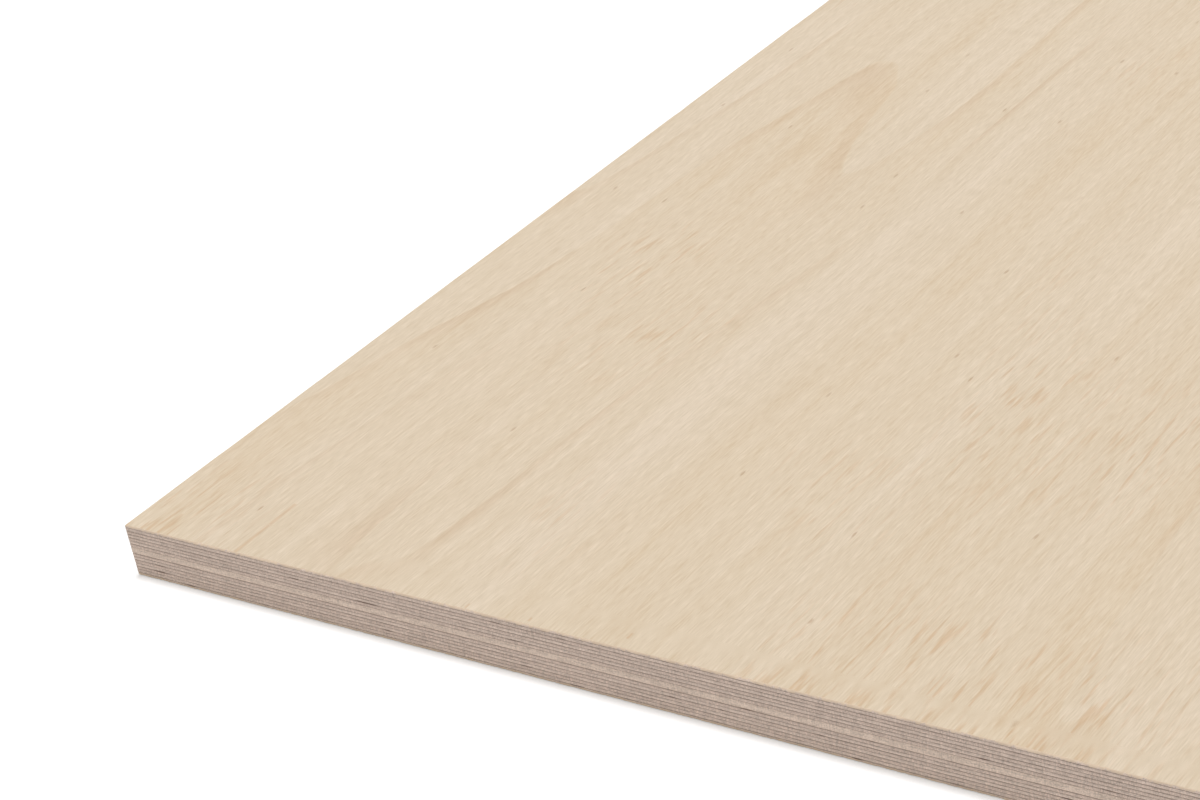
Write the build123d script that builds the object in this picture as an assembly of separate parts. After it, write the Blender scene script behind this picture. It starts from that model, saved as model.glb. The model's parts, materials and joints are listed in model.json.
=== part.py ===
from build123d import *
import os

# A full sheet of birch plywood, lying flat. The origin is the middle of its underside, X runs across
# the face grain, Y runs along the face grain, and Z is up through the thickness. All sizes are in mm.

# The sheet as it is sold, trimmed square on all four sides
SHEET_LENGTH = 1525.0
SHEET_WIDTH = 1525.0

# Veneers are peeled to one thickness. The two outer ones are thinner because the finished sheet is sanded.
BACK_THICKNESS = 1.05
INNER_THICKNESS = 1.35
CORE_THICKNESS = 2.70
FACE_THICKNESS = 1.05

# How many inner veneers lie between the core and each outer veneer
INNER_PLIES_PER_SIDE = 6


def lay_up():
    """List the plies from the face down, as (name, thickness). Each one's grain crosses its neighbours'."""
    core_number = INNER_PLIES_PER_SIDE + 2
    back_number = 2 * core_number - 1
    plies = [("face_veneer", FACE_THICKNESS)]
    for number in range(2, back_number):
        if number == core_number:
            plies.append((f"core_ply_{number:02d}", CORE_THICKNESS))
        elif number % 2 == 0:
            plies.append((f"cross_ply_{number:02d}", INNER_THICKNESS))
        else:
            plies.append((f"long_ply_{number:02d}", INNER_THICKNESS))
    plies.append(("back_veneer", BACK_THICKNESS))
    return plies


def veneer(name, underside, thickness):
    """Make one ply: a flat veneer of the sheet's full outline, resting on the ply below it."""
    outline = Plane.XY.offset(underside) * Rectangle(SHEET_WIDTH, SHEET_LENGTH)
    ply = extrude(outline, amount=thickness)
    ply.label = name
    return ply


def sheet():
    """Stack the plies upwards from the back veneer, which lies on the floor."""
    stack = []
    underside = 0.0
    for name, thickness in reversed(lay_up()):
        stack.append(veneer(name, underside, thickness))
        underside += thickness
    return stack


os.makedirs("parts", exist_ok=True)
for ply in sheet():
    export_step(ply, f"parts/{ply.label}.step")
    print(f"{ply.label}: {ply.bounding_box().min.Z:.2f} to {ply.bounding_box().max.Z:.2f} mm")
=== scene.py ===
"""Finishes a sheet of birch plywood: its sawn ply edges, its sanded faces and the studio around it."""

import json
import math

import bpy
import numpy as np
from bpy.props import FloatProperty, FloatVectorProperty, IntProperty, PointerProperty
from bpy.types import Operator, Panel, PropertyGroup
from mathutils import Matrix, Vector
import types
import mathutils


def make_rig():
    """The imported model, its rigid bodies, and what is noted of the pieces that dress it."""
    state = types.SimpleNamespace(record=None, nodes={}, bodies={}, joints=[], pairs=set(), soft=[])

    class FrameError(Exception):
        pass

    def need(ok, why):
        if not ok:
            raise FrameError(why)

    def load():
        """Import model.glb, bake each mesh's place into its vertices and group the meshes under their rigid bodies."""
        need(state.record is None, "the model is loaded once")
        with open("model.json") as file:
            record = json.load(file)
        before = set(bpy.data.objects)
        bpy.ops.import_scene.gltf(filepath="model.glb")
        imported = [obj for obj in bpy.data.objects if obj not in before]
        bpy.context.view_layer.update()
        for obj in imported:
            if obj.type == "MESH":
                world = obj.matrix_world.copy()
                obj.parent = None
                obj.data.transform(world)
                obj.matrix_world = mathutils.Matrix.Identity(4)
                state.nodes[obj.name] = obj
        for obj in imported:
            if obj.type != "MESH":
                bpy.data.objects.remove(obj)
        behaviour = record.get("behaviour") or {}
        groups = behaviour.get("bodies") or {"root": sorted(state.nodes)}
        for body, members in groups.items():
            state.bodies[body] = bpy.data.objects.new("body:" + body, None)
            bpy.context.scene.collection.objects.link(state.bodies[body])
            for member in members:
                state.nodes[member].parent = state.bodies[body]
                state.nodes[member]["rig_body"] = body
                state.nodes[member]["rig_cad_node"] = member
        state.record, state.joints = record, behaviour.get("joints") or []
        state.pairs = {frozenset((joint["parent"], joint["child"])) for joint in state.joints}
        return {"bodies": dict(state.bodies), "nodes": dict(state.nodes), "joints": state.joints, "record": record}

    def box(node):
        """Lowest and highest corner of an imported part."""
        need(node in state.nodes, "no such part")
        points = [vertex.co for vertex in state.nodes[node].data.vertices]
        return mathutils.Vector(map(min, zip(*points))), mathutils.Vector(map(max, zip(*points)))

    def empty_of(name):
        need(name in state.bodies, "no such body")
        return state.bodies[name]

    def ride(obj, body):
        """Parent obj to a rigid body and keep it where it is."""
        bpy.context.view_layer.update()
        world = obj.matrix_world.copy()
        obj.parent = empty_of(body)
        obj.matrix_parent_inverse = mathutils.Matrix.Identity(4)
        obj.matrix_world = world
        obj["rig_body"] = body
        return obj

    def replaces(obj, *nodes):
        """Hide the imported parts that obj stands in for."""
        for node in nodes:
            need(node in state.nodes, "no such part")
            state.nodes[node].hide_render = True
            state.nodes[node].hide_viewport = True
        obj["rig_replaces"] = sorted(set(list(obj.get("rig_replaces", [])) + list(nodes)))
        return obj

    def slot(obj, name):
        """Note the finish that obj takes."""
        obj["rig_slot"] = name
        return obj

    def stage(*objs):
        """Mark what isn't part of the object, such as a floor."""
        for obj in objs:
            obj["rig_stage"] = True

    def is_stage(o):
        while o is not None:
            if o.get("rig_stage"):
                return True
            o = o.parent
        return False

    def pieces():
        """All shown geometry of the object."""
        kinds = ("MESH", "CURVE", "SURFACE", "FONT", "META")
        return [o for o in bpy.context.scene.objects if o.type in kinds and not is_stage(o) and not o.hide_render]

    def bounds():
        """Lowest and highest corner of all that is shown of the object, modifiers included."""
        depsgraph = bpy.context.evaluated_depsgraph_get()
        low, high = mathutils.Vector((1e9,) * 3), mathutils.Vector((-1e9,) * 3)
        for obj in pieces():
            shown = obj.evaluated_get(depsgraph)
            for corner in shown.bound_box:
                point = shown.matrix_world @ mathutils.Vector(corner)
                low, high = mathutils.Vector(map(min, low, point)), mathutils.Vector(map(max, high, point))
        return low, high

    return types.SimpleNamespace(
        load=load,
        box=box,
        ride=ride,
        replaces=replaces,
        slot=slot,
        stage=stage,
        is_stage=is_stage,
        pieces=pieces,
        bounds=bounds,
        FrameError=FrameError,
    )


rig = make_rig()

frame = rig.load()

bl_info = {
    "name": "Birch Plywood Sheet",
    "version": (1, 0, 0),
    "blender": (4, 5, 0),
    "location": "3D View > Sidebar > Plywood",
    "description": "Gives a sheet of birch plywood its sawn edges, sanded faces and studio",
    "category": "Object",
}

SIZE_FILE = "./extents.json"
BAKE_MAP = "OFBake"
MM = 0.001

# The plies from the face down. Counted from 1, odd ones have their grain along Y and even ones along X.
PLIES = sorted(frame["nodes"], key=lambda name: -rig.box(name)[1].z)
SHEET_LOW, SHEET_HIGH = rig.bounds()

# Going round the sheet from its near left corner: each side's direction of travel and outward normal
SIDES = (
    ((1, 0), (0, -1)),
    ((0, 1), (1, 0)),
    ((-1, 0), (0, 1)),
    ((0, -1), (-1, 0)),
)
# The numbers of two of them
FRONT, BACK = 0, 2

# Marks on the face, in millimetres from the near left corner: place across the grain, where it starts
# and ends along the grain, half its width, and its strength
FACE_MARKS = (
    (53.5, -2.0, 34.0, 1.4, 0.50),
    (16.2, -2.0, 14.0, 1.0, 0.35),
    (155.8, 0.5, 4.0, 0.7, 0.60),
    (181.0, 1.8, 4.6, 0.7, 0.60),
    (218.0, 5.0, 9.0, 0.8, 0.60),
)
# The amber patch near the front edge: its two ends and its depth, in metres from the near left corner
AMBER_PATCH = (0.262, 0.400, 0.075)
# The one large gap in a glue line of the front edge: the ply above it, its middle, half its length and
# how far it gapes
FRONT_VOID_PLY, FRONT_VOID_MIDDLE, FRONT_VOID_HALF, FRONT_VOID_GAPE = 6, 0.1115, 0.0045, 0.45

# The heights of an inner ply's rings of points, as shares of its thickness
INNER_SHARES = (0.0, 0.12, 0.88, 1.0)
# An outer veneer's rings from its glue line to its sanded face: the share of its thickness, the share of
# a chip's depth that reaches it, and its wear in millimetres
OUTER_RINGS = (
    (0.00, 0.00, 0.00), (0.14, 0.00, 0.00), (0.50, 0.30, 0.02), (0.74, 0.75, 0.08), (0.88, 0.95, 0.15),
    (1.00, 1.00, 0.24),
)
# The back's chips and wear, as a share of the face's
BACK_WEAR = 0.4
# Spaces between the points along the edges of the outer veneers: front and back, then left and right
OUTER_PITCHES = (0.6 * MM, 1.2 * MM)
# A flat cap has a straight ring of points this far in, and four corner points inside that
CAP_RING, CAP_CORNERS = 2 * MM, 20 * MM
# On the bake map, how many rows a ply's walls fold into and how much of the height they fill
INNER_MAP, OUTER_MAP = (32, 0.90), (12, 0.12)
# The floor lies just under the sheet, and this far out on each side
FLOOR_GAP, FLOOR_REACH = 0.2 * MM, 30.0


class FaceFinish(PropertyGroup):
    """The sanded outer veneers."""

    cream: FloatVectorProperty(
        name="Cream", description="Main colour of the sanded birch",
        subtype="COLOR", default=(0.715, 0.588, 0.434), min=0, max=1,
    )
    blond: FloatVectorProperty(
        name="Blond", description="Palest sapwood",
        subtype="COLOR", default=(0.745, 0.623, 0.482), min=0, max=1,
    )
    amber: FloatVectorProperty(
        name="Amber", description="Warmest bands",
        subtype="COLOR", default=(0.700, 0.545, 0.370), min=0, max=1,
    )
    ring_line: FloatVectorProperty(
        name="Ring line", description="Thin line at the end of each growth ring",
        subtype="COLOR", default=(0.560, 0.375, 0.225), min=0, max=1,
    )
    stain: FloatVectorProperty(
        name="Stain", description="Amber stain in some fibres",
        subtype="COLOR", default=(0.600, 0.385, 0.210), min=0, max=1,
    )
    fleck: FloatVectorProperty(
        name="Fleck", description="Short brown pith flecks",
        subtype="COLOR", default=(0.400, 0.235, 0.110), min=0, max=1,
    )
    log_turn: FloatProperty(
        name="Log turn", description="Width of veneer peeled in one turn of the log",
        default=0.82, min=0.3, max=2, unit="LENGTH",
    )
    band_width: FloatProperty(
        name="Band width", description="Width of the broad bands of figure, across the grain",
        default=0.105, min=0.01, max=0.5, unit="LENGTH",
    )
    band_length: FloatProperty(
        name="Band length", description="Length of the broad bands of figure, along the grain",
        default=0.90, min=0.05, max=3, unit="LENGTH",
    )
    roughness: FloatProperty(
        name="Roughness", description="Roughness of the sanded face", default=0.55, min=0, max=1,
    )
    fibre_depth: FloatProperty(
        name="Fibre depth", description="Depth of the sanded fibres",
        default=0.03 * MM, min=0, max=1 * MM, unit="LENGTH",
    )


class EdgeFinish(PropertyGroup):
    """The sawn edges of the plies."""

    long_grain: FloatVectorProperty(
        name="Long grain", description="Plies sawn along their grain",
        subtype="COLOR", default=(0.825, 0.665, 0.562), min=0, max=1,
    )
    end_grain: FloatVectorProperty(
        name="End grain", description="Plies sawn across their grain",
        subtype="COLOR", default=(0.785, 0.622, 0.522), min=0, max=1,
    )
    core: FloatVectorProperty(
        name="Core", description="The double ply in the middle",
        subtype="COLOR", default=(0.870, 0.697, 0.575), min=0, max=1,
    )
    # Partly the pale fibres' own colour and partly a painted highlight: it is paler than the fibres so that the face's
    # arris looks lit, and on the back it is painted light on the bottom ply where the floor shades it.
    arris: FloatVectorProperty(
        name="Arris", description="Pale fibres of the face where they hang over the saw cut",
        subtype="COLOR", default=(0.900, 0.710, 0.530), min=0, max=1,
    )
    glue: FloatVectorProperty(
        name="Glue", description="Dark phenolic glue line",
        subtype="COLOR", default=(0.240, 0.145, 0.105), min=0, max=1,
    )
    glue_width: FloatProperty(
        name="Glue width", description="How far a strong glue line shows into its plies",
        default=0.18 * MM, min=0.01 * MM, max=1 * MM, unit="LENGTH",
    )
    groove: FloatProperty(
        name="Groove", description="How far the plies are torn back at a glue line",
        default=0.10 * MM, min=0, max=1 * MM, unit="LENGTH",
    )
    relief: FloatProperty(
        name="Relief", description="Unevenness of the sawn plies",
        default=0.06 * MM, min=0, max=1 * MM, unit="LENGTH",
    )
    chip_depth: FloatProperty(
        name="Chip depth", description="Deepest chip torn from the arris of an outer veneer",
        default=0.40 * MM, min=0, max=3 * MM, unit="LENGTH",
    )
    chip_pitch: FloatProperty(
        name="Chip pitch", description="Mean distance between chips on an arris across the grain",
        default=1.8 * MM, min=0.5 * MM, max=100 * MM, unit="LENGTH",
    )
    void_pitch: FloatProperty(
        name="Void pitch", description="Mean distance between the small gaps in a strong glue line",
        default=160 * MM, min=5 * MM, max=1, unit="LENGTH",
    )
    void_depth: FloatProperty(
        name="Void depth", description="Depth of the deepest gap in a glue line",
        default=0.7 * MM, min=0, max=3 * MM, unit="LENGTH",
    )
    pitch: FloatProperty(
        name="Pitch", description="Distance between the mesh's points along an inner ply",
        default=1.4 * MM, min=0.2 * MM, max=10 * MM, unit="LENGTH",
    )
    seed: IntProperty(name="Seed", description="Start of the random draws", default=21, min=0)


class Studio(PropertyGroup):
    """The floor, the light and the camera."""

    sky: FloatProperty(
        name="Sky", description="Strength of the even light all round", default=0.40, min=0, max=5,
    )
    lamp: FloatProperty(
        name="Lamp", description="Strength of the soft lamp above the sheet", default=1.90, min=0, max=20,
    )
    lamp_height: FloatProperty(
        name="Lamp height", description="Angle of the lamp above the floor",
        default=math.radians(84), min=0, max=math.pi / 2, subtype="ANGLE",
    )
    lamp_turn: FloatProperty(
        name="Lamp turn", description="Direction of the lamp, anticlockwise from +X",
        default=math.radians(70), min=-math.pi, max=math.pi, subtype="ANGLE",
    )
    lamp_spread: FloatProperty(
        name="Lamp spread", description="Angle that the lamp fills, which softens its shadow",
        default=math.radians(13), min=0, max=math.pi, subtype="ANGLE",
    )
    floor: FloatProperty(
        name="Floor", description="Share of the light that the floor returns", default=0.80, min=0, max=1,
    )
    floor_lift: FloatProperty(
        name="Floor lift", description="What the camera sees on top of the light that the floor returns",
        default=0.36, min=0, max=1,
    )
    camera_turn: FloatProperty(
        name="Camera turn", description="Turn of the camera, anticlockwise from +Y",
        default=math.radians(40.62), subtype="ANGLE",
    )
    camera_tilt: FloatProperty(
        name="Camera tilt", description="How far the camera looks down",
        default=math.radians(28.02), subtype="ANGLE",
    )
    camera_roll: FloatProperty(
        name="Camera roll", description="Clockwise roll of the camera",
        default=math.radians(11.22), subtype="ANGLE",
    )
    camera_place: FloatVectorProperty(
        name="Camera place", description="The camera, measured from the top of the near left corner",
        default=(0.7379, -0.5911, 0.5066), subtype="TRANSLATION", unit="LENGTH",
    )
    lens: FloatProperty(
        name="Lens", description="Focal length in millimetres on a 36 mm sensor", default=88.9, min=1,
    )


class Wire:
    """An output in a shader's tree. Its operators add Math nodes."""

    def __init__(self, shader, socket):
        self.shader = shader
        self.socket = socket

    def math(self, operation, *others):
        """A Math node with this socket as its first value."""
        return self.shader.node("Math", {"operation": operation}, dict(enumerate((self, *others))))

    def __add__(self, other):
        return self.math("ADD", other)

    __radd__ = __add__

    def __sub__(self, other):
        return self.math("SUBTRACT", other)

    def __rsub__(self, other):
        return self.shader.node("Math", {"operation": "SUBTRACT"}, {0: other, 1: self})

    def __mul__(self, other):
        return self.math("MULTIPLY", other)

    __rmul__ = __mul__

    def __truediv__(self, other):
        return self.math("DIVIDE", other)

    def __rtruediv__(self, other):
        return self.shader.node("Math", {"operation": "DIVIDE"}, {0: other, 1: self})

    def ramp(self, low, high):
        """0 at low, 1 at high, smooth between them and level past them."""
        limits = {"Value": self, "From Min": low, "From Max": high}
        return self.shader.node("MapRange", {"interpolation_type": "SMOOTHSTEP"}, limits)


class Shader:
    """The node tree of a material or a world."""

    def __init__(self, owner):
        self.owner = owner
        owner.use_nodes = True
        self.tree = owner.node_tree
        self.tree.nodes.clear()

    @staticmethod
    def find(sockets, key):
        """The socket with this number or name, or the first one in use."""
        if isinstance(key, int):
            return sockets[key]
        return next(socket for socket in sockets if socket.enabled and key in (None, socket.name))

    def node(self, kind, settings=None, inputs=None, output=None):
        """Adds a node: its settings, then the values or links of its sockets. Returns one of its outputs."""
        made = self.tree.nodes.new("ShaderNode" + kind)
        for name, value in (settings or {}).items():
            setattr(made, name, value)
        for key, value in (inputs or {}).items():
            socket = self.find(made.inputs, key)
            if isinstance(value, Wire):
                self.tree.links.new(value.socket, socket)
            else:
                socket.default_value = value
        return Wire(self, self.find(made.outputs, output)) if made.outputs else None

    def place(self):
        """The point on the sheet, as x, y and z in metres."""
        point = self.node("TexCoord", output="Object")
        x = self.node("SeparateXYZ", inputs={"Vector": point}, output="X")
        outputs = x.socket.node.outputs
        return x, Wire(self, outputs["Y"]), Wire(self, outputs["Z"])

    def noise(self, x, y, z=0.0, detail=2.0, roughness=0.5):
        """Noise round 0, between -0.5 and 0.5, at a point in the noise's own units."""
        point = self.node("CombineXYZ", inputs={"X": x, "Y": y, "Z": z})
        inputs = {"Vector": point, "Scale": 1.0, "Detail": detail, "Roughness": roughness}
        return self.node("TexNoise", inputs=inputs, output="Fac") - 0.5

    def attribute(self, name):
        """A number that the mesh stores at each point."""
        return self.node("Attribute", {"attribute_name": name}, output="Fac")

    def mix(self, factor, first, second, blend="MIX"):
        """The first colour, with this share of the second."""
        inputs = {"Factor": factor, "A": rgba(first), "B": rgba(second)}
        return self.node("Mix", {"data_type": "RGBA", "blend_type": blend}, inputs, "Result")

    def shade(self, colour, amount):
        """The colour made brighter or darker by this share."""
        level = amount + 1
        grey = self.node("CombineColor", inputs={"Red": level, "Green": level, "Blue": level})
        return self.mix(1.0, colour, grey, "MULTIPLY")

    def wood(self, colour, roughness, height, depth):
        """Ends the tree in bare wood with this relief."""
        normal = self.node("Bump", inputs={"Strength": 1.0, "Distance": depth, "Height": height})
        surface = self.node("BsdfPrincipled", inputs={
            "Base Color": colour, "Roughness": roughness, "Specular IOR Level": 0.35, "Normal": normal,
        })
        self.node("OutputMaterial", inputs={"Surface": surface})
        return self.owner


def rgba(colour):
    """A colour as four numbers. A wire stays as it is."""
    return colour if isinstance(colour, Wire) else (*colour, 1.0)


def new_shader(name):
    """An empty shader in a new material of this name."""
    return Shader(bpy.data.materials.new(name))


def sanded_birch(name, finish, seed, marks=()):
    """The rotary-peeled figure of an outer veneer, sanded: growth rings, streaks, fibres and pith flecks."""
    shader = new_shader(name)
    x, y, _ = shader.place()
    across = x + 0.03 * shader.noise(x * 0.9, y * 1.3, seed) + seed * 0.37
    along = y + seed * 0.53

    def drawn_out(width, length, draw=0, detail=2.0, roughness=0.5):
        """Noise drawn out along the grain, over this width and length in millimetres."""
        return shader.noise(across / (width * MM), along / (length * MM), seed + draw, detail, roughness)

    # How deep in the log the knife cut, in rings: the log's bend, its taper and its bumps
    turn = across * (2 * math.pi / finish.log_turn)
    bend = turn.math("SINE") * 2.6
    width, length = finish.band_width, finish.band_length
    bumps = shader.noise(across / width, along / length, seed, 1.5) * 5.0
    knobs = shader.noise(across / (width * 0.35), along / (length * 0.5), seed, 1.0) * 0.7
    depth = bend + along * 1.6 + bumps + knobs
    ring = depth.math("FLOOR")
    ring_age = depth - ring
    ring_tone = shader.node("TexWhiteNoise", {"noise_dimensions": "1D"}, {"W": ring + seed * 11.3}, "Value")

    # Streaks and fibres run along the grain
    broad_bands = drawn_out(55, 1500, 2, 1.0)
    bands = drawn_out(22, 400, 0, 3.0)
    streaks = drawn_out(6, 160, 0, 3.0, 0.6)
    fibres = drawn_out(1.4, 30, 0, 3.0, 0.7)
    hairs = drawn_out(0.55, 6.5)

    warmth = ring_tone * 0.30 + ring_age * 0.15 + broad_bands * 0.8 + bands * 0.6
    warmth = warmth - streaks * 0.8 - fibres * 1.1 - hairs + 0.30
    colour = shader.mix(warmth.ramp(0.00, 0.60), finish.blond, finish.cream)
    colour = shader.mix(warmth.ramp(0.50, 1.10), colour, finish.amber)

    line = ring_age.ramp(0.80, 0.97) * (1 - ring_age.ramp(0.985, 1.0))
    line_strength = drawn_out(50, 120, 3).ramp(-0.12, 0.22)
    colour = shader.mix(line * line_strength * 0.36, colour, finish.ring_line)

    # Here and there the fibres are stained amber in short dashes
    patch = drawn_out(90, 160, 5, 1.0).ramp(0.02, 0.22)
    from_left, from_front = x - SHEET_LOW.x, y - SHEET_LOW.y
    if marks:
        start, end, reach = AMBER_PATCH
        between = from_left.ramp(start - 0.02, start + 0.02) * (1 - from_left.ramp(end - 0.03, end + 0.03))
        patch = patch.math("MAXIMUM", between * (1 - from_front.ramp(0.5 * reach, reach)))
    dashes = drawn_out(2, 20, 7).ramp(0.02, 0.20)
    colour = shader.mix(patch * dashes * 0.50, colour, finish.stain)
    for place, start, end, half, strength in marks:
        off = (from_left - place * MM + streaks * (1.2 * MM)).math("ABSOLUTE")
        started = from_front.ramp(start * MM, (start + 0.5) * MM)
        ended = from_front.ramp((end - 1.0) * MM, end * MM)
        mark = (1 - off.ramp(0.0, half * MM)) * (started * (1 - ended)) * strength
        colour = shader.mix(mark, colour, finish.stain)

    # Pith flecks: short dark dashes in a few cells of a stretched pattern
    cell = shader.node("CombineXYZ", inputs={"X": across / (14 * MM), "Y": along / (45 * MM), "Z": seed})
    near = shader.node("TexVoronoi", {"voronoi_dimensions": "2D"}, {"Vector": cell, "Scale": 1.0}, "Distance")
    cell_tint = Wire(shader, near.socket.node.outputs["Color"])
    chosen = shader.node("SeparateColor", inputs={"Color": cell_tint}, output="Red")
    flecks = (1 - (near + hairs * 0.05).ramp(0.015, 0.055)) * chosen.ramp(0.86, 0.92)
    colour = shader.mix(flecks * 0.45, colour, finish.fleck)

    colour = shader.shade(colour, streaks * 0.09 + fibres * 0.15 + hairs * 0.26)
    roughness = finish.roughness - fibres * 0.25
    relief = fibres + hairs * 0.6 - flecks * 0.5
    return shader.wood(colour, roughness, relief, finish.fibre_depth)


def sawn_birch(name, edge, colour, along_x, end_grain, arris=None):
    """A ply's sawn edge. Its glue lines come from the mesh's distances to the joints above and below."""
    shader = new_shader(name)
    x, y, z = shader.place()
    grain, cross = (x, y) if along_x else (y, x)
    ply = shader.attribute("ply")

    def round_edge(size, draw, detail=2.0, roughness=0.5):
        """Noise that changes round the edge over this size in millimetres."""
        return shader.noise(x / (size * MM), y / (size * MM), draw, detail, roughness)

    # One pattern drawn out along the ply's grain: streaks on one side of the sheet, specks on the other
    length, contrast = (9.0 * MM, 1.05) if end_grain else (3.5 * MM, 0.85)
    fibres = shader.noise(grain / length, cross / (0.42 * MM), z / (0.34 * MM), 3.0, 0.65)
    patches = shader.noise(grain / (50 * MM), cross / (3.5 * MM), ply * 5.7 + z / (0.9 * MM))
    saw_marks = round_edge(0.55, z / (3.5 * MM), 2.0, 0.6)
    grit = round_edge(0.45, z / (0.45 * MM), 1.0)
    layers = shader.noise(grain / (12 * MM), cross / (12 * MM), z / (0.22 * MM) + ply * 7.7, 1.0)
    amount = fibres * contrast + patches * 0.24 + saw_marks * 0.45 + grit * 0.75 + layers * 0.35
    wood = shader.shade(colour, amount)
    if arris is not None:
        # A pale, ragged band along the arris of a sanded face. At the face it is the face's fibres hanging over the
        # saw cut, pale and ragged, with a painted highlight on top; at the back it is painted light that brightens the
        # bottom ply where the floor shades it.
        below = SHEET_HIGH.z - z if arris else z - SHEET_LOW.z
        ragged = round_edge(1.6, ply, 3.0, 0.6) * (3.4 * MM)
        wood = shader.mix(1 - (below + ragged).ramp(0.4 * MM, 0.9 * MM), wood, edge.arris)

    # Knife checks open on the underside of each ply and drink up the glue
    wobble = round_edge(2.2, ply * 3.1)
    gape = shader.attribute("gape")
    strong = shader.attribute("to_strong_glue") / edge.glue_width + wobble * 0.9 - gape * 1.6
    drawn = round_edge(10, ply * 2.3).ramp(-0.30, 0.20)
    strong_line = (1 - strong.ramp(0.45, 1.35)) * (drawn * 0.25 + 0.42 + gape * 0.33)
    faint = shader.attribute("to_faint_glue") / edge.glue_width + wobble * 0.9
    dashes = round_edge(1.8, ply * 4.9, 1.0).ramp(-0.16, 0.14)
    faint_line = (1 - faint.ramp(0.30, 1.15)) * (dashes * 0.36 + 0.31)
    glued = strong_line.math("MAXIMUM", faint_line)
    wood = shader.mix(glued, wood, edge.glue)

    relief = fibres - glued * 0.8
    return shader.wood(wood, 0.72, relief, 0.05 * MM)


def value_noise(rng, along, length):
    """Smooth random numbers from -1 to 1 along a side, that change over this length."""
    place = along / length
    knots = rng.uniform(-1, 1, int(place.max()) + 3)
    knot = place.astype(int)
    share = place - knot
    share = share * share * (3 - 2 * share)
    return knots[knot] * (1 - share) + knots[knot + 1] * share


def bites(rng, along, pitch, halves):
    """Rounded bites at random places along a side, from 0 where there is none to 1 in the deepest."""
    depth = np.zeros_like(along)
    for _ in range(round(along.max() / pitch)):
        middle = rng.uniform(0, along.max())
        half = rng.uniform(*halves)
        size = rng.uniform(0.15, 1.0) ** 1.5
        reach = np.clip(1 - ((along - middle) / half) ** 2, 0, None)
        depth = np.maximum(depth, size * np.sqrt(reach))
    from_corner = np.minimum(along, along.max() - along)
    return depth * np.clip(from_corner / (3 * MM), 0, 1)


class Outline:
    """Points round the sheet, going anticlockwise from the near left corner, with their way inwards."""

    # A point this close to a corner on each side keeps the corner crisp
    CORNER = 0.3 * MM

    def __init__(self, pitches):
        low, high = SHEET_LOW, SHEET_HIGH
        corners = np.array([(low.x, low.y), (high.x, low.y), (high.x, high.y), (low.x, high.y)])
        places, inwards, sides, alongs = [], [], [], []
        for side, (travel, outward) in enumerate(SIDES):
            length = np.abs(corners[(side + 1) % 4] - corners[side]).sum()
            count = round(length / pitches[side])
            along = np.linspace(0, length, count, endpoint=False)
            along = np.sort(np.append(along, (self.CORNER, length - self.CORNER)))
            inward = np.tile(-np.array(outward, float), (len(along), 1))
            # The corner itself moves in from both of its sides
            inward[0] -= SIDES[side - 1][1]
            places.append(corners[side] + along[:, None] * travel)
            inwards.append(inward)
            sides.append(np.full(len(along), side))
            alongs.append(along)
        self.starts = np.cumsum([0] + [len(along) for along in alongs])
        self.place = np.concatenate(places)
        self.inward = np.concatenate(inwards)
        self.side = np.concatenate(sides)
        self.along = np.concatenate(alongs)

    def __len__(self):
        return len(self.place)

    def each_side(self, rule):
        """The numbers that a rule gives for each side in turn, from its number and the distances along it."""
        return np.concatenate([rule(side, self.along[self.side == side]) for side in range(4)])

    def ring(self, inset, height):
        """The outline moved inwards by these amounts, at one height."""
        flat = self.place + self.inward * inset[:, None]
        return np.column_stack((flat, np.full(len(self), height)))

    def shrunk(self, margin, height):
        """The whole outline, drawn smaller by this margin all round."""
        middle = np.array((SHEET_LOW.xy + SHEET_HIGH.xy) / 2)
        half = np.array(SHEET_HIGH.xy) - middle
        flat = middle + (self.place - middle) * (half - margin) / half
        return np.column_stack((flat, np.full(len(self), height)))


def cap_faces(outline, ring_start, inner_start, upward):
    """A strip from a ring of points to the straight ring inside it, then triangles to four inner corners."""
    faces = []
    count = len(outline)
    corners = inner_start + count
    for side in range(4):
        first, last = outline.starts[side], outline.starts[side + 1]
        middle = (first + last) // 2
        here, there = corners + side, corners + (side + 1) % 4
        for column in range(first, last):
            beside = (column + 1) % count
            outer = (ring_start + column, ring_start + beside)
            inner = (inner_start + column, inner_start + beside)
            faces.append((*outer, *inner[::-1]))
            faces.append((*inner, here if column < middle else there))
        faces.append((inner_start + middle, there, here))
    faces.append(tuple(corners + side for side in range(4)))
    return faces if upward else [face[::-1] for face in faces]


def wall_map(outline, shares, rows, strip):
    """Where the walls' corners lie on the bake map: folded into rows that fill this strip at its foot."""
    count = len(outline)
    column = np.arange(count)
    per_row = -(-count // rows)
    row = column // per_row
    travelled = np.append(np.linalg.norm(np.diff(outline.place, axis=0), axis=1), 1 * MM).cumsum()
    travelled = np.insert(travelled, 0, 0.0)
    row_start = travelled[row * per_row]
    row_end = travelled[np.minimum((row + 1) * per_row, count)]
    left = (travelled[column] - row_start) / (row_end - row_start)
    right = (travelled[column + 1] - row_start) / (row_end - row_start)
    # A narrow gap stays free round each row
    maps = []
    for low, high in zip(shares[:-1], shares[1:]):
        corners = ((left, low), (right, low), (right, high), (left, high))
        wall = np.empty((count, 4, 2))
        for number, (across, share) in enumerate(corners):
            wall[:, number, 0] = 0.003 + across * 0.994
            wall[:, number, 1] = (row + 0.08 + share * 0.84) / rows * strip
        maps.append(wall.reshape(-1, 2))
    return np.concatenate(maps)


def cap_map(points, faces, place, size):
    """Where a flat cap's corners lie on the bake map: seen from above, in a square."""
    used = np.concatenate([np.array(face) for face in faces])
    span = np.array([SHEET_HIGH.x - SHEET_LOW.x, SHEET_HIGH.y - SHEET_LOW.y])
    flat = (points[used, :2] - (SHEET_LOW.x, SHEET_LOW.y)) / span
    return flat * size + place


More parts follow.
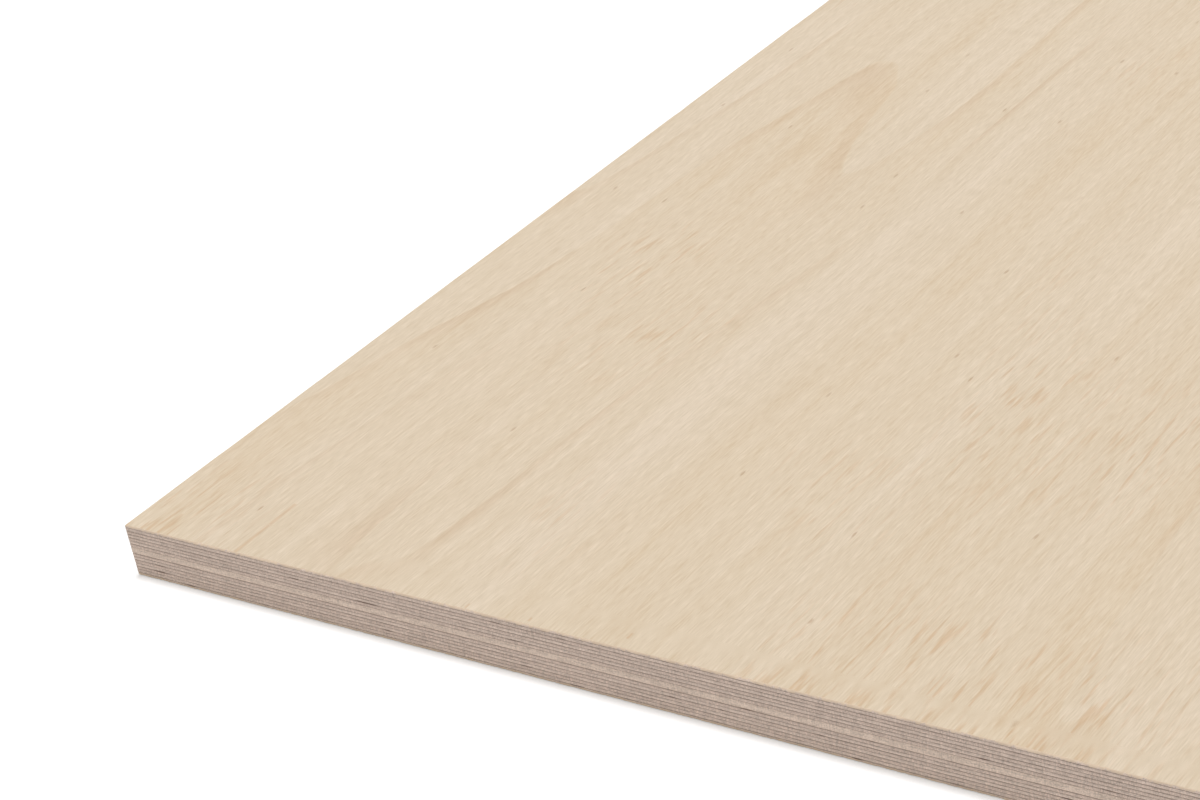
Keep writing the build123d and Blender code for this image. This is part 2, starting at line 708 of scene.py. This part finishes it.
def ply_piece(name, node, slot, outline, rings, shares, materials, faces_seen):
    """Makes one ply from its rings of points, lowest first, and lets it stand for its CAD node."""
    count = len(outline)
    top_ring = (len(rings) - 1) * count
    low, high = rings[0][0, 2], rings[-1][0, 2]
    inner = []
    for height in (low, high):
        inner.append(outline.shrunk(CAP_RING, height))
        inner.append(outline.shrunk(CAP_CORNERS, height)[outline.starts[:4]])
    points = np.concatenate((*rings, *inner))

    column = np.arange(count)
    beside = (column + 1) % count
    walls = np.concatenate([
        np.column_stack((start + column, start + beside, start + count + beside, start + count + column))
        for start in range(0, top_ring, count)
    ])
    bottom = cap_faces(outline, 0, top_ring + count, False)
    top = cap_faces(outline, top_ring, top_ring + 2 * count + 4, True)

    mesh = bpy.data.meshes.new(name)
    mesh.from_pydata(points.tolist(), [], [*walls.tolist(), *bottom, *top])
    bottom_slot, top_slot = (2 if seen else 0 for seen in faces_seen)
    wall_slots = np.tile(outline.side % 2, len(rings) - 1)
    slots = np.concatenate((wall_slots, np.full(len(bottom), bottom_slot), np.full(len(top), top_slot)))
    smooth = np.arange(len(slots)) < len(walls)
    mesh.polygons.foreach_set("material_index", slots.astype(np.int32))
    mesh.polygons.foreach_set("use_smooth", smooth)
    for material in materials:
        mesh.materials.append(material)

    # On the bake map a sanded face fills the square above the walls, and a hidden cap gets a small corner
    rows, strip = OUTER_MAP if any(faces_seen) else INNER_MAP
    maps = [wall_map(outline, shares, rows, strip)]
    for number, (cap, seen) in enumerate(zip((bottom, top), faces_seen)):
        place, size = ((0.01, strip + 0.01), 0.98 - strip) if seen else ((0.93, 0.92 + 0.04 * number), 0.03)
        maps.append(cap_map(points, cap, place, size))
    layer = mesh.uv_layers.new(name=BAKE_MAP)
    layer.data.foreach_set("uv", np.concatenate(maps).ravel().astype(np.float32))
    mesh.set_sharp_from_angle(angle=math.radians(40))

    piece = bpy.data.objects.new(name, mesh)
    bpy.context.scene.collection.objects.link(piece)
    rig.ride(piece, "root")
    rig.replaces(piece, node)
    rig.slot(piece, slot)
    return piece


def mark_ply(piece, number, low, high, gape, rings):
    """Stores the ply's number, each point's distance to the glue lines beside it, and where those gape."""
    mesh = piece.data
    points = np.empty(len(mesh.vertices) * 3, np.float32)
    mesh.vertices.foreach_get("co", points)
    heights = points.reshape(-1, 3)[:, 2]
    # The sheet's two faces have no glue line, so it counts as a metre away
    far = np.full(len(heights), 1.0)
    to_below = heights - low if number < len(PLIES) else far
    to_above = high - heights if number > 1 else far
    strong, faint = (to_below, to_above) if grain_along_x(number) else (to_above, to_below)
    gapes = np.zeros(len(heights))
    gapes[:rings * len(gape)] = np.tile(gape, rings)
    values = {
        "ply": np.full(len(heights), number), "to_strong_glue": strong, "to_faint_glue": faint, "gape": gapes,
    }
    for name, numbers in values.items():
        attribute = mesh.attributes.new(name, "FLOAT", "POINT")
        attribute.data.foreach_set("value", numbers.astype(np.float32))


def grain_along_x(number):
    """Whether this ply, counted from 1 at the face, has its grain along X."""
    return number % 2 == 0


def strong_joint(number):
    """The strong glue line beside a ply, numbered by the ply above it. They lie under the even plies."""
    return number if grain_along_x(number) else number - 1


def joint_gape(edge, joint, outline):
    """Where a strong glue line gapes, from 0 to 1. Both plies beside it get the same answer."""
    rng = np.random.default_rng([edge.seed, joint])

    def rule(side, along):
        gape = bites(rng, along, edge.void_pitch, (1.0 * MM, 3.0 * MM)) * 0.6
        if side == FRONT and joint == FRONT_VOID_PLY:
            reach = np.clip(1 - ((along - FRONT_VOID_MIDDLE) / FRONT_VOID_HALF) ** 2, 0, None)
            gape = np.maximum(gape, FRONT_VOID_GAPE * np.sqrt(reach))
        return gape

    return outline.each_side(rule)


def saw_relief(rng, outline, along_x, relief):
    """How far a ply's sawn edge lies in from the CAD box: rough across the grain, streaky along it."""

    def rule(side, along):
        end_grain = (side in (FRONT, BACK)) != along_x
        lengths = (2.5 * MM, 6 * MM) if end_grain else (14 * MM, 45 * MM)
        fine, broad = (value_noise(rng, along, length) for length in lengths)
        return relief * (0.5 + 0.3 * fine + 0.2 * broad)

    return outline.each_side(rule)


def inner_ply(number, node, edge, outline, materials):
    """An inner ply, torn back a little at its glue lines."""
    low, high = (corner.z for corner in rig.box(node))
    rng = np.random.default_rng([edge.seed, 100 + number])
    gape = joint_gape(edge, strong_joint(number), outline)
    reliefs = [saw_relief(rng, outline, grain_along_x(number), edge.relief) for _ in range(2)]
    rings = []
    for share, relief in zip(INNER_SHARES, (reliefs[0], *reliefs, reliefs[1])):
        at_joint = share in (0.0, 1.0)
        at_strong = share == (0.0 if grain_along_x(number) else 1.0)
        inset = relief + edge.groove * at_joint + gape * edge.void_depth * at_strong
        rings.append(outline.ring(inset, low + share * (high - low)))
    slot = node.rsplit("_", 1)[0]
    piece = ply_piece(node + "_sawn", node, slot, outline, rings, INNER_SHARES, materials, (False, False))
    mark_ply(piece, number, low, high, gape, len(rings))


def outer_veneer(number, node, edge, outline, materials, upward):
    """An outer veneer: crisp arrises with small chips, and a flat sanded face."""
    low, high = (corner.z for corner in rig.box(node))
    rng = np.random.default_rng([edge.seed, 100 + number])
    gape = joint_gape(edge, strong_joint(number), outline) if number > 1 else np.zeros(len(outline))

    def tear(side, along):
        if side in (FRONT, BACK):
            return bites(rng, along, edge.chip_pitch, (0.5 * MM, 1.6 * MM)) * edge.chip_depth
        return bites(rng, along, 40 * MM, (3 * MM, 18 * MM)) * edge.chip_depth * 0.5

    wear = 1.0 if upward else BACK_WEAR
    torn = outline.each_side(tear) * wear
    relief = saw_relief(rng, outline, False, edge.relief)
    rings = []
    for share, tear_share, worn in OUTER_RINGS:
        inset = relief + torn * tear_share + worn * MM * wear
        if share == 0.0:
            inset = inset + edge.groove + gape * edge.void_depth
        height = low + share * (high - low) if upward else high - share * (high - low)
        rings.append(outline.ring(inset, height))
    shares = [share for share, _, _ in OUTER_RINGS]
    if not upward:
        rings = rings[::-1]
        shares = [1 - share for share in reversed(shares)]
    piece = ply_piece(node + "_sanded", node, node, outline, rings, shares, materials, (not upward, upward))
    mark_ply(piece, number, low, high, gape, len(rings))


class PLYWOOD_OT_inner_plies(Operator):
    """Make the sawn edges of the inner plies"""

    bl_idname = "plywood.inner_plies"
    bl_label = "Inner plies"

    def execute(self, context):
        edge = context.scene.plywood_edge
        outline = Outline([edge.pitch] * 4)
        core = (len(PLIES) + 1) // 2
        cross_materials = (
            sawn_birch("sawn_long_grain_x", edge, edge.long_grain, True, False),
            sawn_birch("sawn_end_grain_x", edge, edge.end_grain, True, True),
        )
        long_materials = (
            sawn_birch("sawn_end_grain_y", edge, edge.end_grain, False, True),
            sawn_birch("sawn_long_grain_y", edge, edge.long_grain, False, False),
        )
        core_materials = (
            sawn_birch("sawn_core_long_grain", edge, edge.core, True, False),
            sawn_birch("sawn_core_end_grain", edge, edge.end_grain, True, True),
        )
        for number, node in enumerate(PLIES[1:-1], start=2):
            if number == core:
                materials = core_materials
            else:
                materials = cross_materials if grain_along_x(number) else long_materials
            inner_ply(number, node, edge, outline, materials)
        return {"FINISHED"}


class PLYWOOD_OT_outer_veneers(Operator):
    """Make the sanded face and back veneers with their chipped arrises"""

    bl_idname = "plywood.outer_veneers"
    bl_label = "Face and back veneers"

    def execute(self, context):
        edge = context.scene.plywood_edge
        face = context.scene.plywood_face
        outline = Outline(OUTER_PITCHES * 2)
        outer = (
            (1, True, "face", edge.long_grain, 1.0, FACE_MARKS),
            # The back veneer's edges take the paler core colour as painted light, brightening the bottom ply where the
            # floor shades it.
            (len(PLIES), False, "back", edge.core, 6.0, ()),
        )
        for number, upward, sanded, sawn, seed, marks in outer:
            materials = (
                sawn_birch(f"sawn_{sanded}_end_grain", edge, sawn, False, True, upward),
                sawn_birch(f"sawn_{sanded}_long_grain", edge, sawn, False, False, upward),
                sanded_birch(f"sanded_{sanded}", face, seed, marks),
            )
            outer_veneer(number, PLIES[number - 1], edge, outline, materials, upward)
        return {"FINISHED"}


class PLYWOOD_OT_studio(Operator):
    """Make the white floor, the soft light and the camera"""

    bl_idname = "plywood.studio"
    bl_label = "Studio"

    def execute(self, context):
        studio = context.scene.plywood_studio
        self.make_floor(studio)
        self.make_light(context.scene, studio)
        self.make_camera(context.scene, studio)
        context.scene.view_settings.view_transform = "Standard"
        return {"FINISHED"}

    @staticmethod
    def make_floor(studio):
        """A pale floor just under the sheet, which the camera sees lifted to white outside the shadow."""
        ways = ((-1, -1), (1, -1), (1, 1), (-1, 1))
        corners = [(x * FLOOR_REACH, y * FLOOR_REACH, SHEET_LOW.z - FLOOR_GAP) for x, y in ways]
        mesh = bpy.data.meshes.new("floor")
        mesh.from_pydata(corners, [], [(0, 1, 2, 3)])
        floor = bpy.data.objects.new("floor", mesh)
        bpy.context.scene.collection.objects.link(floor)
        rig.stage(floor)

        shader = new_shader("floor_white")
        grey = (studio.floor, studio.floor, studio.floor)
        lit = shader.node("BsdfDiffuse", inputs={"Color": rgba(grey)})
        seen = shader.node("LightPath", output="Is Camera Ray")
        strength = seen * studio.floor_lift
        lift = shader.node("Emission", inputs={"Color": rgba((1, 1, 1)), "Strength": strength})
        both = shader.node("AddShader", inputs={0: lit, 1: lift})
        shader.node("OutputMaterial", inputs={"Surface": both})
        mesh.materials.append(shader.owner)

    @staticmethod
    def make_light(scene, studio):
        """Even light from all round, seen as white, and one soft lamp almost overhead."""
        world = bpy.data.worlds.new("studio_sky")
        scene.world = world
        shader = Shader(world)
        kinds = ("Camera", "Glossy", "Transmission")
        camera, glossy, transmitted = (shader.node("LightPath", output=f"Is {kind} Ray") for kind in kinds)
        seen = camera.math("MAXIMUM", glossy).math("MAXIMUM", transmitted)
        strength = seen * (1 - studio.sky) + studio.sky
        sky = shader.node("Background", inputs={"Color": rgba((1, 1, 1)), "Strength": strength})
        shader.node("OutputWorld", inputs={"Surface": sky})

        light = bpy.data.lights.new("soft_lamp", "SUN")
        light.energy = studio.lamp
        light.angle = studio.lamp_spread
        lamp = bpy.data.objects.new("soft_lamp", light)
        turn, flat = studio.lamp_turn, math.cos(studio.lamp_height)
        towards = Vector((flat * math.cos(turn), flat * math.sin(turn), math.sin(studio.lamp_height)))
        lamp.matrix_world = Matrix.Translation(towards) @ towards.to_track_quat("Z", "Y").to_matrix().to_4x4()
        scene.collection.objects.link(lamp)

    @staticmethod
    def make_camera(scene, studio):
        """A long lens over the near left corner, rolled as the photo is."""
        data = bpy.data.cameras.new("camera")
        data.lens = studio.lens
        data.sensor_width = 36
        data.clip_end = 100
        camera = bpy.data.objects.new("camera", data)
        corner = Vector((SHEET_LOW.x, SHEET_LOW.y, SHEET_HIGH.z))
        turned = Matrix.Rotation(studio.camera_turn, 4, "Z")
        tilted = Matrix.Rotation(math.pi / 2 - studio.camera_tilt, 4, "X")
        rolled = Matrix.Rotation(-studio.camera_roll, 4, "Z")
        placed = Matrix.Translation(corner + Vector(studio.camera_place))
        camera.matrix_world = placed @ turned @ tilted @ rolled
        scene.collection.objects.link(camera)
        scene.camera = camera


class PLYWOOD_PT_panel(Panel):
    """The steps and the settings of the sheet"""

    bl_idname = "PLYWOOD_PT_panel"
    bl_label = "Birch plywood sheet"
    bl_space_type = "VIEW_3D"
    bl_region_type = "UI"
    bl_category = "Plywood"

    def draw(self, context):
        for operator in OPERATORS:
            self.layout.operator(operator.bl_idname)
        for group in (context.scene.plywood_face, context.scene.plywood_edge, context.scene.plywood_studio):
            box = self.layout.box()
            for name in group.__annotations__:
                box.prop(group, name)


GROUPS = {"plywood_face": FaceFinish, "plywood_edge": EdgeFinish, "plywood_studio": Studio}
OPERATORS = (PLYWOOD_OT_inner_plies, PLYWOOD_OT_outer_veneers, PLYWOOD_OT_studio)


def register():
    for kind in (*GROUPS.values(), *OPERATORS, PLYWOOD_PT_panel):
        bpy.utils.register_class(kind)
    for name, group in GROUPS.items():
        setattr(bpy.types.Scene, name, PointerProperty(type=group))


def unregister():
    for name in GROUPS:
        delattr(bpy.types.Scene, name)
    for kind in (PLYWOOD_PT_panel, *OPERATORS, *GROUPS.values()):
        bpy.utils.unregister_class(kind)


def main():
    """Makes the sheet and its studio, and writes the sizes of the CAD model and of the visible one."""
    cad_box = [list(corner) for corner in (SHEET_LOW, SHEET_HIGH)]
    register()
    bpy.ops.plywood.inner_plies()
    bpy.ops.plywood.outer_veneers()
    bpy.ops.plywood.studio()
    visual_box = [list(corner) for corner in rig.bounds()]
    with open(SIZE_FILE, "w") as file:
        json.dump({"cad": cad_box, "visual": visual_box}, file)


if __name__ == "__main__":
    main()
